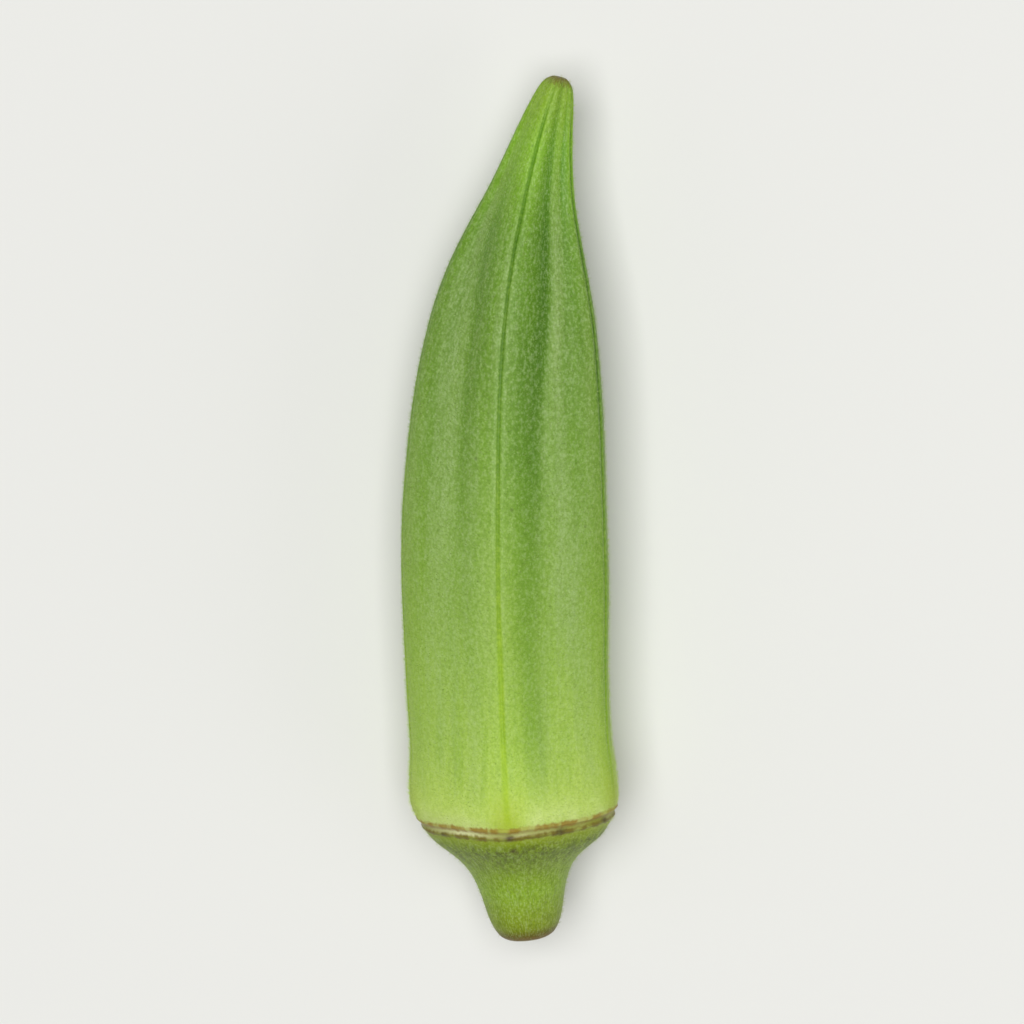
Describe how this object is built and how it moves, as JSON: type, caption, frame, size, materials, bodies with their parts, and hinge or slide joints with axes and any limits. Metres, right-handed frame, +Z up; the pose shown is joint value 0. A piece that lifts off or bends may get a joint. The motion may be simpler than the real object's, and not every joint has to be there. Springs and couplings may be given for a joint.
{
  "type": "okra pod",
  "caption": "Fresh green okra pod as picked: ridged, downy seed capsule tapering to a curved beak, with a calyx scar ring and a short cut stalk, lying on its side.",
  "frame": {"origin": "on the resting plane, under the middle of the bounding box of the pod lying on its side", "axes": "+Y along the pod from the cut stalk to the tip, +Z up out of the resting face through the top ridge, +X to the right, the side that the tip and the stalk both bend towards"},
  "size_m": [0.0202, 0.0808, 0.0189],
  "materials": {
    "okra_skin": "fresh green okra skin, satin under fine short down, yellower at the beak and stalk, pale green at the shoulder, with a tan and brown calyx scar"
  },
  "bodies": {
    "root": {"okra_pod": "okra_skin"}
  },
  "joints": []
}
